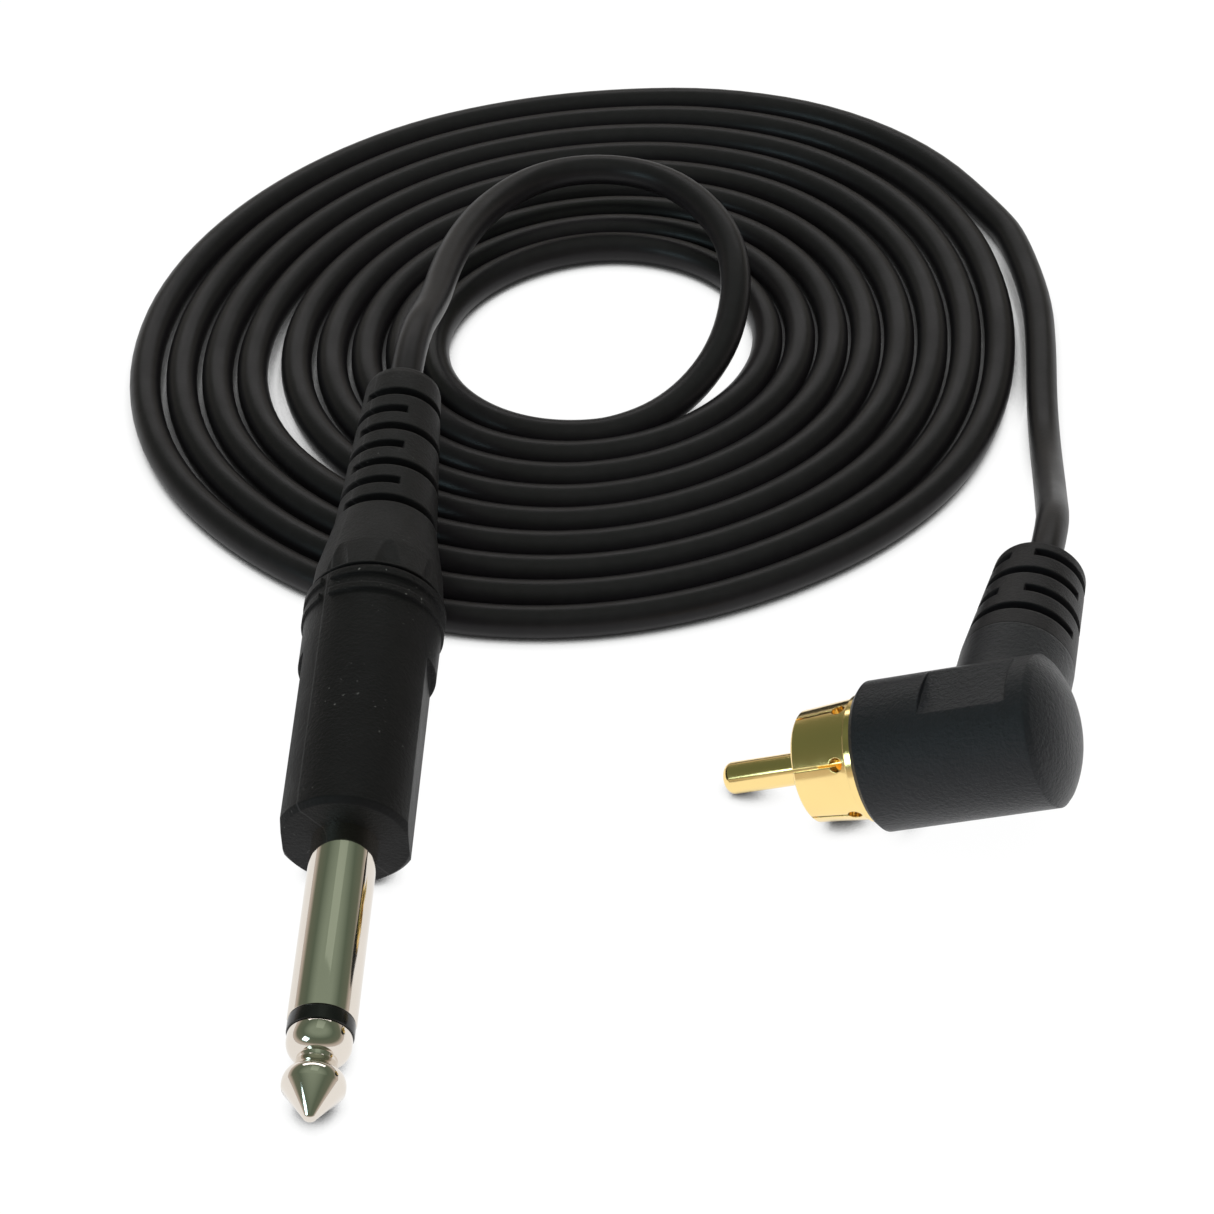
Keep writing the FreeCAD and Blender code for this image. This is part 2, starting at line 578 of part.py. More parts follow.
def phono_housing():
    """Right-angle moulded housing: round body, crowned end, neck and two flats."""
    r = HOUSING_D / 2
    end = HOUSING_END - HOUSING_CROWN
    crown = Part.Arc(V(0, 0, HOUSING_END), V(0.55 * r, 0, HOUSING_END - 0.28 * HOUSING_CROWN),
                     V(r - HOUSING_EDGE, 0, end)).toShape()
    edges = [Part.makeLine(V(0, 0, FACE), V(r - HOUSING_EDGE, 0, FACE)),
             Part.makeLine(V(r - HOUSING_EDGE, 0, FACE), V(r, 0, FACE + HOUSING_EDGE)),
             Part.makeLine(V(r, 0, FACE + HOUSING_EDGE), V(r, 0, end - HOUSING_EDGE)),
             Part.makeLine(V(r, 0, end - HOUSING_EDGE), V(r - HOUSING_EDGE, 0, end)),
             crown,
             Part.makeLine(V(0, 0, HOUSING_END), V(0, 0, FACE))]
    body = Part.Face(Part.Wire(edges)).revolve(V(0, 0, 0), V(0, 0, 1), 360)
    for side in (-1, 1):
        depth = r - FLAT_DEPTH
        chip = Part.makeBox(2 * r, r, FLAT_LENGTH,
                            V(-r, depth if side > 0 else -depth - r, FACE + FLAT_START))
        body = body.cut(chip)
    neck = along_neck(Part.makeCone(NECK_D / 2, BOOT_ROOT_D / 2, NECK_LENGTH))
    body = body.fuse(neck)
    body = body.cut(phono_mould_block())
    body = body.cut(along_neck(rod(BOOT_SPIGOT_D, BOOT_SPIGOT_START, BOOT_START + 1)))
    return body.cut(rod(COLLAR_ROOT_D, FACE - 1, COLLAR_END)).removeSplitter()


def phono_plug():
    pieces = {
        "rca_pin": phono_pin(),
        "rca_insulator": phono_insulator(),
        "rca_collar": phono_collar(),
        "rca_ground_tail": phono_ground_tail(),
        "rca_conductor": phono_conductor(),
        "rca_pin_solder": phono_pin_solder(),
        "rca_core": phono_core(),
        "rca_pigtail": phono_pigtail(),
        "rca_ground_solder": phono_ground_solder(),
        "rca_jacket_end": phono_jacket_end(),
        "rca_inner_mould": phono_inner_mould(),
        "rca_strain_relief": phono_strain_relief(),
        "rca_housing": phono_housing(),
    }
    return pieces


# ================================================================ cord
def bump(angle, where, width):
    """1 at the direction `where`, fading smoothly to 0 on both sides of it."""
    away = (angle - where + 180) % 360 - 180
    return math.exp(-(away / width) ** 2)


def coil_point(turn):
    """Centre line of the coil, `turn` turns from its inner end."""
    angle = COIL_START - 360.0 * turn
    radius = COIL_FIRST_RADIUS + COIL_PITCH * turn + COIL_SPREAD * turn * turn
    radius *= 1 + COIL_OVAL * math.cos(2 * math.radians(angle - COIL_OVAL_AT))
    for amount, where, width in COIL_SWAYS:
        radius += amount * (turn / COIL_TURNS) ** 2 * bump(angle, where, width)
    amount, after, where, width = COIL_SLACK
    if turn > after:
        radius += amount * (1 - COIL_SLACK_FADE * (turn - after)) * bump(angle, where, width)
    a = math.radians(angle)
    return V(COIL_CENTRE[0] + radius * math.cos(a), COIL_CENTRE[1] + radius * math.sin(a),
             CORD_D / 2)


def coil_heading(turn):
    step = 0.002
    return (coil_point(turn + step) - coil_point(turn - step)).normalize()


def coil_edge(turn, side):
    """A point on the cord's edge: side 1 is the outside of the coil, -1 the inside."""
    ahead = coil_heading(turn)
    outward = V(-ahead.y, ahead.x, 0)
    edge = coil_point(turn) + outward * (side * CORD_D / 2)
    return V(edge.x, edge.y, 0)


def coil_outline(first, side):
    """One turn of the coil's edge as a smooth closed wire, with the step at the cord's end."""
    turns = [first + step / COIL_STEPS for step in range(COIL_STEPS + 1)]
    curve = Part.BSplineCurve()
    curve.interpolate([coil_edge(turn, side) for turn in turns])
    end_turn = turns[0] if side < 0 else turns[-1]
    near = coil_edge(end_turn, side)
    far = coil_edge(end_turn, -side)
    other = coil_edge(turns[-1] if side < 0 else turns[0], side)
    return Part.Wire([curve.toShape(), Part.makeLine(near, far), Part.makeLine(far, other)])


def coil_solid():
    """All the coiled turns as one flat ring, stepped where the cord enters and leaves."""
    outer = Part.Face(coil_outline(COIL_TURNS - 1, 1)).extrude(V(0, 0, CORD_D))
    inner = Part.Face(coil_outline(0, -1)).extrude(V(0, 0, CORD_D))
    return outer.cut(inner)


def coil_length():
    count = 200 * int(COIL_TURNS + 1)
    points = [coil_point(COIL_TURNS * k / count) for k in range(count + 1)]
    return sum((b - a).Length for a, b in zip(points, points[1:]))


def cord_tube(name, route):
    """Round tube along straight runs joined by the largest tangent arcs that fit."""
    runs = [b - a for a, b in zip(route, route[1:])]
    edges = []
    radii = []
    last = route[0]
    for k in range(1, len(route) - 1):
        before = V(runs[k - 1]).normalize()
        after = V(runs[k]).normalize()
        half_turn = before.getAngle(after) / 2
        reach = 0.45 * min(runs[k - 1].Length, runs[k].Length)
        radius = reach / math.tan(half_turn)
        start = route[k] - before * reach
        end = route[k] + after * reach
        inward = (after - before).normalize()
        middle = route[k] + inward * (radius / math.cos(half_turn) - radius)
        edges.append(Part.LineSegment(last, start).toShape())
        edges.append(Part.Arc(start, middle, end).toShape())
        radii.append(radius)
        last = end
    edges.append(Part.LineSegment(last, route[-1]).toShape())
    path = Part.Wire(edges)
    section = Part.Wire(Part.makeCircle(CORD_D / 2, route[0], runs[0]))
    solid = path.makePipeShell([section], True, False)
    swept = math.pi * CORD_D ** 2 / 4 * path.Length
    print(name, "length %.1f" % path.Length, "volume ratio %.4f" % (solid.Volume / swept),
          "radii", [round(radius, 1) for radius in radii])
    return solid, path.Length


# Raised loop: out of the phone plug's relief, over the inner turns, down into the middle
LEAD_POINTS = [
    (-27.16, 60.95, 12.9), (-26.26, 68.94, 11.7), (-24.66, 76.75, 10.5), (-21.66, 84.34, 9.5),
    (-16.56, 90.64, 8.9), (-9.96, 93.05, 8.6), (-2.96, 91.55, 8.6), (2.24, 86.44, 8.6),
    (5.54, 79.55, 8.0), (6.14, 72.25, 6.8), (4.84, 65.25, 4.9), (1.74, 59.84, 3.0),
    (-2.46, 55.64, 1.9),
]
# Tail: off the outermost turn, along the floor and up into the phono plug's boot
TAIL_POINTS = [
    (40.34, 76.55, 1.7), (39.94, 67.34, 1.7), (39.14, 58.34, 1.75), (38.74, 50.24, 1.95),
    (38.24, 42.34, 4.0), (37.44, 33.74, 7.5),
]
END_RUN = 5.2           # straight run off the coil
EXIT_RUN = 8.0          # straight run out of a strain relief


# ================================================================ build
phone_lies = lying(V(PHONE_NOSE_XY[0], PHONE_NOSE_XY[1], PHONE_NOSE_Z),
                   90 - PHONE_YAW, PHONE_TILT)
phono_back = lying(V(0, 0, 0), -PHONO_YAW, PHONO_TILT).multVec(V(0, 0, PIN_OUT))
phono_tip = V(PHONO_FACE_XY[0] - phono_back.x, PHONO_FACE_XY[1] - phono_back.y, PHONO_TIP_Z)
phono_lies = lying(phono_tip, -PHONO_YAW, PHONO_TILT, -NECK_ROLL)

nodes = {}
for name, piece in phone_plug().items():
    piece.Placement = phone_lies.multiply(piece.Placement)
    nodes[name] = piece
for name, piece in phono_plug().items():
    piece.Placement = phono_lies.multiply(piece.Placement)
    nodes[name] = piece

lead_start = phone_lies.multVec(V(0, 0, RELIEF_END))
lead_out = phone_lies.multVec(V(0, 0, RELIEF_END + EXIT_RUN))
coil_in = coil_point(0)
coil_out = coil_point(COIL_TURNS)
tail_off = coil_out + coil_heading(COIL_TURNS) * END_RUN
tail_in = phono_lies.multVec(V(BOOT_END + EXIT_RUN, 0, NECK_Z))
tail_end = phono_lies.multVec(V(BOOT_END, 0, NECK_Z))

lead_route = [lead_start, lead_out] + [V(*p) for p in LEAD_POINTS] + [coil_in]
tail_route = [coil_out, tail_off] + [V(*p) for p in TAIL_POINTS] + [tail_in, tail_end]
nodes["cord_lead"], lead_length = cord_tube("cord_lead", lead_route)
nodes["cord_tail"], tail_length = cord_tube("cord_tail", tail_route)
nodes["cord_coil"] = coil_solid()
print("coil length %.1f" % coil_length())
print("cord length %.1f" % (lead_length + coil_length() + tail_length))

for name, shape in sorted(nodes.items()):
    if len(shape.Solids) != 1 or not shape.isValid():
        print("CHECK", name, len(shape.Solids), shape.isValid())
    shape.exportStep("parts/" + name + ".step")
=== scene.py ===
import math

import bmesh
import bpy
from mathutils import Matrix, Vector


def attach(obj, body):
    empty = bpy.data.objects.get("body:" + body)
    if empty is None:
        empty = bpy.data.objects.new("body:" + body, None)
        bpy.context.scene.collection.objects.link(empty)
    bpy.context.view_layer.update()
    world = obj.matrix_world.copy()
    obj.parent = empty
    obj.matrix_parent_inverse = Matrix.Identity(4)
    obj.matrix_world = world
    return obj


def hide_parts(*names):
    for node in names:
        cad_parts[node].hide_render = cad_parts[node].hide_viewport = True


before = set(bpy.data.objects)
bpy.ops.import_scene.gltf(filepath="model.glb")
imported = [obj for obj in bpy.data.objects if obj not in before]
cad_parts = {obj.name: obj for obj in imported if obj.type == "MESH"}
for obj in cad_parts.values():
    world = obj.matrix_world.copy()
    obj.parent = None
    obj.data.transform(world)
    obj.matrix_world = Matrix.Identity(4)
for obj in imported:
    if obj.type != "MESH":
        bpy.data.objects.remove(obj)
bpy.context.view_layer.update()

# The plugs and the cord are worked out in millimetres and placed in metres. Materials, lights,
# floor and whatever says so are in metres.
MM = 0.001

CORD_D = 3.4


def add_object(name, data):
    obj = bpy.data.objects.new(name, data)
    bpy.context.scene.collection.objects.link(obj)
    return obj


# ------------------------------------------------------------------ camera
CAMERA_AT = (-8.432, -247.892, 242.43)
CAMERA_PITCH = 48.5     # degrees up from looking straight down
SENSOR_WIDTH = 36.0
FOCAL_LENGTH = 105.34
VIEW_START = 0.01       # metres
VIEW_END = 20.0         # metres


def make_camera():
    camera = bpy.data.cameras.new("camera")
    camera.sensor_width = SENSOR_WIDTH
    camera.lens = FOCAL_LENGTH
    camera.clip_start = VIEW_START
    camera.clip_end = VIEW_END
    eye = add_object("camera", camera)
    eye.location = tuple(v * MM for v in CAMERA_AT)
    eye.rotation_euler = (math.radians(CAMERA_PITCH), 0, 0)
    bpy.context.scene.camera = eye


make_camera()

# ------------------------------------------------------------------ how the plugs lie
PHONE_NOSE = (-34.528, -44.630, 2.50)
PHONE_YAW = 3.20        # degrees, nose towards -X
PHONE_TILT = 7.50       # degrees, nose down
PHONO_FACE_XY = (17.213, -3.941)    # middle of the housing's front face
PHONO_TIP_Z = 1.30
PHONO_YAW = 13.54       # degrees, pin away from -X towards +Y
PHONO_TILT = 23.52      # degrees, pin down
NECK_ROLL = 2.17        # degrees, neck turned down from level about the plug's axis

# Along each plug's axis, from its tip
FRONT = 30.5            # the phone handle's front face
RELIEF_END = 89.8       # end of the phone plug's strain relief
PIN_OUT = 15.7          # the phono housing's front face
NECK_Z = PIN_OUT + 12.4     # axis of the phono plug's neck
BOOT_END = 25.5         # end of the phono strain relief, along the neck from the plug's axis


def lying(origin, heading, rise, roll=0.0):
    """Matrix of a plug whose own Z points along heading and climbs by rise, both in degrees."""
    h = math.radians(heading)
    r = math.radians(rise)
    along = Vector((math.cos(r) * math.cos(h), math.cos(r) * math.sin(h), math.sin(r)))
    level = Vector((0, 0, 1)).cross(along).normalized()
    turn = Matrix((level, along.cross(level), along)).transposed().to_4x4()
    return Matrix.Translation(origin) @ turn @ Matrix.Rotation(math.radians(roll), 4, "Z")


def lying_phono():
    """The phono plug's matrix: its housing's face is at PHONO_FACE_XY, its tip at PHONO_TIP_Z."""
    back = lying(Vector((0, 0, 0)), -PHONO_YAW, PHONO_TILT) @ Vector((0, 0, PIN_OUT))
    tip = Vector((PHONO_FACE_XY[0] - back.x, PHONO_FACE_XY[1] - back.y, PHONO_TIP_Z))
    return lying(tip, -PHONO_YAW, PHONO_TILT, -NECK_ROLL)


PHONE = lying(Vector(PHONE_NOSE), 90 - PHONE_YAW, PHONE_TILT)
PHONO = lying_phono()

# ------------------------------------------------------------------ cord
COIL_CENTRE = (-9.99, 68.73)
COIL_FIRST_RADIUS = 16.6
COIL_PITCH = 3.62
COIL_SPREAD = 0.028     # the pitch grows by twice this each turn
COIL_OVAL = 0.055       # share by which the coil is longer one way and shorter the other
COIL_OVAL_AT = 38.6     # degrees, direction of the longer axis
COIL_SWAYS = [          # how far the outer turns stand out, where, how widely
    (-1.7, 4.0, 22.0), (1.4, 52.0, 25.0), (-1.1, 91.0, 20.0), (0.7, 168.0, 28.0),
    (-0.65, 225.0, 15.0), (0.6, 322.0, 16.0),
]
COIL_SLACK = (1.2, 4.75, 198.0, 24.0)   # wide gap: how much, after which turn, where, how widely
COIL_SLACK_FADE = 0.21  # share of it taken up again by each turn further out
COIL_START = -81.0      # degrees; the turns run clockwise from here
COIL_TURNS = 8.70
COIL_STEPS = 24         # spline points per turn
HEADING_STEP = 0.004    # share of a turn that gives the coil's direction at its end
END_RUN = 5.2           # straight run off the coil
EXIT_RUN = 8.0          # straight run out of a strain relief

# Raised loop: out of the phone plug's relief, over the inner turns, down into the middle
LEAD_POINTS = [
    (-27.16, 60.95, 12.9), (-26.26, 68.94, 11.7), (-24.66, 76.75, 10.5), (-21.66, 84.34, 9.5),
    (-16.56, 90.64, 8.9), (-9.96, 93.05, 8.6), (-2.96, 91.55, 8.6), (2.24, 86.44, 8.6),
    (5.54, 79.55, 8.0), (6.14, 72.25, 6.8), (4.84, 65.25, 4.9), (1.74, 59.84, 3.0),
    (-2.46, 55.64, 1.9),
]
# Tail: off the outermost turn, along the floor and up into the phono plug's boot
TAIL_POINTS = [
    (40.34, 76.55, 1.7), (39.94, 67.34, 1.7), (39.14, 58.34, 1.75), (38.74, 50.24, 1.95),
    (38.24, 42.34, 4.0), (37.44, 33.74, 7.5),
]
lead_start = PHONE @ Vector((0, 0, RELIEF_END))


def hill(angle, where, width):
    """1 at the direction where, fading smoothly to 0 on both sides of it."""
    away = (angle - where + 180) % 360 - 180
    return math.exp(-(away / width) ** 2)


def coil_point(turn):
    """Centre line of the coil, turn turns from its inner end."""
    angle = COIL_START - 360.0 * turn
    radius = COIL_FIRST_RADIUS + COIL_PITCH * turn + COIL_SPREAD * turn * turn
    radius *= 1 + COIL_OVAL * math.cos(2 * math.radians(angle - COIL_OVAL_AT))
    for amount, where, width in COIL_SWAYS:
        radius += amount * (turn / COIL_TURNS) ** 2 * hill(angle, where, width)
    amount, after, where, width = COIL_SLACK
    if turn > after:
        radius += amount * (1 - COIL_SLACK_FADE * (turn - after)) * hill(angle, where, width)
    a = math.radians(angle)
    return Vector((COIL_CENTRE[0] + radius * math.cos(a), COIL_CENTRE[1] + radius * math.sin(a),
                   CORD_D / 2))


def cord_route():
    """Control points from the phone plug's relief to the end of the phono plug's boot."""
    points = [lead_start, PHONE @ Vector((0, 0, RELIEF_END + EXIT_RUN))]
    points += [Vector(p) for p in LEAD_POINTS]
    count = round(COIL_TURNS * COIL_STEPS)
    points += [coil_point(COIL_TURNS * k / count) for k in range(count + 1)]
    coil_end = coil_point(COIL_TURNS)
    leaving = coil_end - coil_point(COIL_TURNS - HEADING_STEP)
    points.append(coil_end + leaving.normalized() * END_RUN)
    points += [Vector(p) for p in TAIL_POINTS]
    points.append(PHONO @ Vector((BOOT_END + EXIT_RUN, 0, NECK_Z)))
    points.append(PHONO @ Vector((BOOT_END, 0, NECK_Z)))
    return points


def make_cord():
    data = bpy.data.curves.new("cord", "CURVE")
    data.dimensions = "3D"
    points = cord_route()
    spline = data.splines.new("NURBS")
    spline.points.add(len(points) - 1)
    for point, where in zip(spline.points, points):
        point.co = (where.x * MM, where.y * MM, where.z * MM, 1.0)
    spline.order_u = 3
    spline.use_endpoint_u = True
    spline.resolution_u = 5
    spline.use_smooth = True
    data.bevel_depth = CORD_D / 2 * MM
    data.bevel_resolution = 8
    return add_object("cord", data)


# ------------------------------------------------------------------ shader parts
MIX_FACTOR, MIX_FIRST, MIX_SECOND, MIX_RESULT = 0, 6, 7, 2     # a Mix node's colour sockets


def principled(name, **values):
    mat = bpy.data.materials.new(name)
    mat.use_nodes = True
    nodes = mat.node_tree.nodes
    shader = nodes["Principled BSDF"]
    for key, value in values.items():
        shader.inputs[key.replace("_", " ")].default_value = value
    return mat, nodes, mat.node_tree.links, shader


def noise(nodes, links, scale, detail=4.0, rough=0.6):
    """Noise over the object; scale counts its blotches per metre."""
    coords = nodes.new("ShaderNodeTexCoord")
    tex = nodes.new("ShaderNodeTexNoise")
    tex.inputs["Scale"].default_value = scale
    tex.inputs["Detail"].default_value = detail
    tex.inputs["Roughness"].default_value = rough
    links.new(coords.outputs["Object"], tex.inputs["Vector"])
    return tex.outputs["Fac"]


def ramp(nodes, links, source, stops):
    node = nodes.new("ShaderNodeValToRGB")
    elements = node.color_ramp.elements
    while len(elements) < len(stops):
        elements.new(0.5)
    for element, (at, colour) in zip(elements, stops):
        element.position = at
        element.color = (*colour, 1)
    links.new(source, node.inputs["Fac"])
    return node.outputs["Color"]


def grey(v):
    return (v, v, v)


def shade(colour, share):
    return [share * c for c in colour]


def math_node(nodes, links, operation, first, second=None):
    node = nodes.new("ShaderNodeMath")
    node.operation = operation
    for socket, value in zip(node.inputs, (first, second)):
        if isinstance(value, (int, float)):
            socket.default_value = value
        elif value is not None:
            links.new(value, socket)
    return node.outputs[0]


def mix_in(nodes, links, factor, colour, extra):
    """The linked colour where factor is 0, the fixed colour extra where it is 1."""
    mix = nodes.new("ShaderNodeMix")
    mix.data_type = "RGBA"
    links.new(factor, mix.inputs[MIX_FACTOR])
    links.new(colour, mix.inputs[MIX_FIRST])
    mix.inputs[MIX_SECOND].default_value = (*extra, 1)
    return mix.outputs[MIX_RESULT]


def add_bump(nodes, links, shader, height, strength, distance, edge=0.0):
    """Bump from a height; edges are shaded as if rounded by the radius edge, in metres."""
    node = nodes.new("ShaderNodeBump")
    node.inputs["Strength"].default_value = strength
    node.inputs["Distance"].default_value = distance
    links.new(height, node.inputs["Height"])
    if edge:
        bevel = nodes.new("ShaderNodeBevel")
        bevel.samples = 6
        bevel.inputs["Radius"].default_value = edge
        links.new(bevel.outputs["Normal"], node.inputs["Normal"])
    links.new(node.outputs["Normal"], shader.inputs["Normal"])


def plug_coords(nodes, links, plug):
    """Shader coordinates in a plug's own frame, in metres along its axis."""
    inward = plug.inverted()
    mapping = nodes.new("ShaderNodeMapping")
    mapping.inputs["Location"].default_value = inward.translation * MM
    mapping.inputs["Rotation"].default_value = inward.to_euler()
    coords = nodes.new("ShaderNodeTexCoord")
    links.new(coords.outputs["Object"], mapping.inputs["Vector"])
    return mapping.outputs["Vector"]


def parting_line(nodes, links, plug, angle, width):
    """1 on the mould's parting plane through the plug's axis, 0 away from it."""
    turn = math.radians(angle)
    dot = nodes.new("ShaderNodeVectorMath")
    dot.operation = "DOT_PRODUCT"
    links.new(plug_coords(nodes, links, plug), dot.inputs[0])
    dot.inputs[1].default_value = (math.sin(turn), -math.cos(turn), 0)
    away = math_node(nodes, links, "ABSOLUTE", dot.outputs["Value"])
    return math_node(nodes, links, "LESS_THAN", away, width)


# ------------------------------------------------------------------ materials
DUST_COLOUR = (0.22, 0.22, 0.21)
# Pale line painted along the mould's parting line: a painted highlight for the light its thin
# ridge catches
SEAM_HIGHLIGHT_COLOUR = (0.022, 0.021, 0.022)
PLASTIC_GRAIN_HEIGHT = 0.00015      # metres
METAL_GRAIN_HEIGHT = 0.00002        # metres
PARTING = (PHONE, 50.0, 0.00008)    # plug, degrees about its axis, half the line's width in metres


def dusting(nodes, links, amount):
    """Fine specks, thicker in some places than in others."""
    specks = ramp(nodes, links, noise(nodes, links, scale=2600.0, detail=2.0, rough=0.5),
                  [(0.70, grey(0)), (0.76, grey(1))])
    spread = ramp(nodes, links, noise(nodes, links, scale=120.0, detail=2.0),
                  [(0.45, grey(0)), (0.65, grey(amount))])
    return math_node(nodes, links, "MULTIPLY", specks, spread)


def plastic(name, base, rough, grain, strength, dust=0.0, edge=0.0, specular=0.25, parting=None):
    """Moulded plastic: grained, with patchy sheen, and dust and a painted highlight along the
    parting line where asked.
    """
    mat, nodes, links, shader = principled(name, Specular_IOR_Level=specular)
    patches = noise(nodes, links, scale=160.0, detail=5.0, rough=0.62)
    links.new(ramp(nodes, links, patches, [(0.3, grey(rough[0])), (0.7, grey(rough[1]))]),
              shader.inputs["Roughness"])
    colour = ramp(nodes, links, noise(nodes, links, scale=700.0, detail=3.0),
                  [(0.35, shade(base, 0.9)), (0.7, shade(base, 1.1))])
    if dust:
        colour = mix_in(nodes, links, dusting(nodes, links, dust), colour, DUST_COLOUR)
    # Painted highlight: a pale line along the mould's parting ridge, lighter than the plastic
    if parting:
        colour = mix_in(nodes, links, parting_line(nodes, links, *parting), colour, SEAM_HIGHLIGHT_COLOUR)
    links.new(colour, shader.inputs["Base Color"])
    add_bump(nodes, links, shader, noise(nodes, links, scale=grain, detail=5.0, rough=0.65),
             strength=strength, distance=PLASTIC_GRAIN_HEIGHT, edge=edge)
    return mat


def plated(name, colour, rough, edge=0.0):
    """Metal: nearly a mirror, with a faint grain and smears where it was handled."""
    mat, nodes, links, shader = principled(name, Metallic=1.0)
    smear = noise(nodes, links, scale=260.0, detail=5.0)
    links.new(ramp(nodes, links, smear, [(0.35, grey(rough[0])), (0.75, grey(rough[1]))]),
              shader.inputs["Roughness"])
    tint = noise(nodes, links, scale=90.0, detail=3.0)
    links.new(ramp(nodes, links, tint, [(0.3, shade(colour, 0.93)), (0.7, colour)]),
              shader.inputs["Base Color"])
    add_bump(nodes, links, shader, noise(nodes, links, scale=1500.0, detail=3.0),
             strength=0.03, distance=METAL_GRAIN_HEIGHT, edge=edge)
    return mat


MATS = {
    "cord": plastic("cord_pvc", (0.0068, 0.0060, 0.0068), rough=(0.34, 0.44),
                    grain=2400.0, strength=0.10, specular=0.20),
    "handle": plastic("handle_pvc", (0.0032, 0.0030, 0.0034), rough=(0.46, 0.58),
                      grain=3000.0, strength=0.60, dust=0.9, specular=0.18, edge=0.0003,
                      parting=PARTING),
    "relief": plastic("relief_pvc", (0.0085, 0.0080, 0.0085), rough=(0.46, 0.58),
                      grain=3200.0, strength=0.45, dust=0.3, specular=0.18, edge=0.0003,
                      parting=PARTING),
    "housing": plastic("housing_pvc", (0.0055, 0.0062, 0.0085), rough=(0.32, 0.42),
                       grain=2600.0, strength=1.0, specular=0.32, edge=0.00035),
    "boot": plastic("boot_pvc", (0.0075, 0.0070, 0.0080), rough=(0.38, 0.50),
                    grain=3200.0, strength=0.45, specular=0.18, edge=0.0003),
    "ring": plastic("ring_plastic", (0.004, 0.004, 0.004), rough=(0.12, 0.22),
                    grain=900.0, strength=0.02, specular=0.4),
    "inner": plastic("pre_mould", (0.05, 0.05, 0.05), rough=(0.40, 0.55),
                     grain=900.0, strength=0.15),
    "white": plastic("natural_insulator", (0.60, 0.58, 0.53), rough=(0.35, 0.50),
                     grain=1200.0, strength=0.08),
    "red": plastic("core_insulation", (0.42, 0.03, 0.02), rough=(0.35, 0.45),
                   grain=1500.0, strength=0.06),
    "nickel": plated("nickel_plate", (0.76, 0.70, 0.63), rough=(0.05, 0.11)),
    "gold": plated("gold_plate", (1.0, 0.75, 0.32), rough=(0.09, 0.17), edge=0.00015),
    "brass": plated("stamped_brass", (0.78, 0.58, 0.28), rough=(0.25, 0.42)),
    "steel": plated("tinned_steel", (0.60, 0.60, 0.58), rough=(0.30, 0.45)),
    "copper": plated("copper_wire", (0.90, 0.48, 0.30), rough=(0.20, 0.35)),
    "solder": plated("solder", (0.66, 0.66, 0.66), rough=(0.22, 0.40)),
}

NODE_MATS = {
    "phone_tip": "nickel", "phone_sleeve": "nickel", "phone_insulator_ring": "ring",
    "phone_handle": "handle", "phone_strain_relief": "relief", "phone_inner_mould": "inner",
    "phone_tip_rod": "brass", "phone_insulating_tube": "white", "phone_rear_washer": "white",
    "phone_tip_lug": "steel", "phone_ground_lug": "steel", "phone_conductor": "copper",
    "phone_core": "red", "phone_pigtail": "copper", "phone_jacket_end": "cord",
    "phone_tip_solder": "solder", "phone_ground_solder": "solder",
    "rca_pin": "gold", "rca_collar": "gold", "rca_insulator": "white",
    "rca_ground_tail": "brass", "rca_conductor": "copper", "rca_pin_solder": "solder",
    "rca_core": "red", "rca_pigtail": "copper", "rca_ground_solder": "solder",
    "rca_jacket_end": "cord", "rca_inner_mould": "inner", "rca_housing": "housing",
    "rca_strain_relief": "boot",
}

for node, name in NODE_MATS.items():
    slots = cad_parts[node].data.materials
    slots.clear()
    slots.append(MATS[name])

# ------------------------------------------------------------------ cord piece
cord = make_cord()
cord.data.materials.append(MATS["cord"])
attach(cord, "root")
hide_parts("cord_lead", "cord_coil", "cord_tail")

# ------------------------------------------------------------------ turned contacts
ROUND_STEPS = 128
ON_AXIS = 1e-4          # a radius under this is the axis itself
CREASE = math.radians(28)   # faces that meet more sharply than this show an edge

TIP_BORE_R = 0.95
TIP_END = 8.85
RING_R = 3.1
RING_END = 10.3
SHANK_R = 3.175
SHANK_BORE_R = 1.95
SHANK_ROOT_R = 3.05     # inside the handle
FLANGE_R = 4.4
FLANGE_START = FRONT + 0.6
FLANGE_END = 32.6
PIN_R = 1.5875
PIN_POST_R = 1.3        # where the insulator holds the pin
PIN_STEP = 14.6         # the pin's shoulder, in front of the insulator
PIN_END = PIN_OUT + 5.0


def arc(first, middle, last, count=10):
    """Points (radius, z) on the circle through three points."""
    (ax, ay), (bx, by), (cx, cy) = first, middle, last
    d = 2 * (ax * (by - cy) + bx * (cy - ay) + cx * (ay - by))
    sa, sb, sc = ax * ax + ay * ay, bx * bx + by * by, cx * cx + cy * cy
    ox = (sa * (by - cy) + sb * (cy - ay) + sc * (ay - by)) / d
    oy = (sa * (cx - bx) + sb * (ax - cx) + sc * (bx - ax)) / d
    radius = math.hypot(ax - ox, ay - oy)
    start, via, end = (math.atan2(y - oy, x - ox) for x, y in (first, middle, last))
    sweep = (end - start) % (2 * math.pi)
    if (via - start) % (2 * math.pi) > sweep:
        sweep -= 2 * math.pi
    angles = [start + sweep * k / count for k in range(count + 1)]
    return [(ox + radius * math.cos(t), oy + radius * math.sin(t)) for t in angles]


